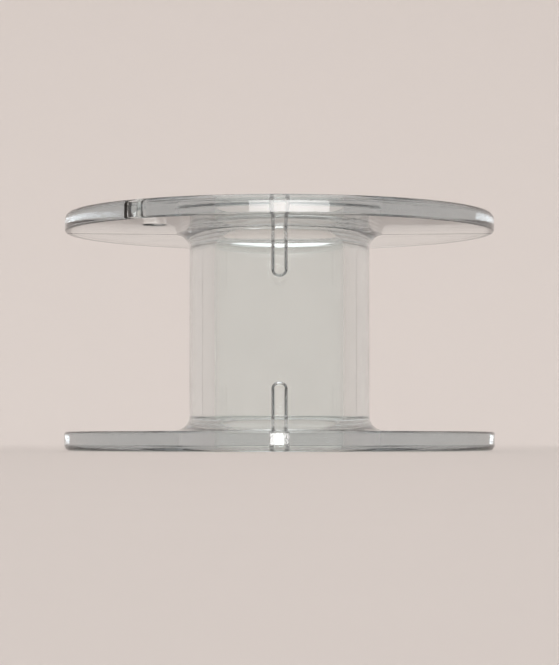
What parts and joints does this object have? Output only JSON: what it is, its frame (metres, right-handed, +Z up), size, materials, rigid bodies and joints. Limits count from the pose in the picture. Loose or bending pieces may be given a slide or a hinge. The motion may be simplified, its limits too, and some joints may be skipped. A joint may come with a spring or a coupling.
{
  "type": "sewing machine bobbin",
  "caption": "Clear plastic spool that holds the lower thread of a sewing machine: a hollow hub between flat round flanges, with a spindle bore, a thread hole and winder notches.",
  "frame": {"origin": "centre of the bore at the lower flange's outer face", "axes": "+Z up the bore axis to the flange with the thread hole; the front, seen in the picture, is towards -Y"},
  "size_m": [0.0203, 0.0202, 0.0112],
  "materials": {
    "clear_plastic": "clear polished moulding with a faint grey-green tint"
  },
  "bodies": {
    "root": {"bobbin": "clear_plastic"}
  },
  "joints": []
}
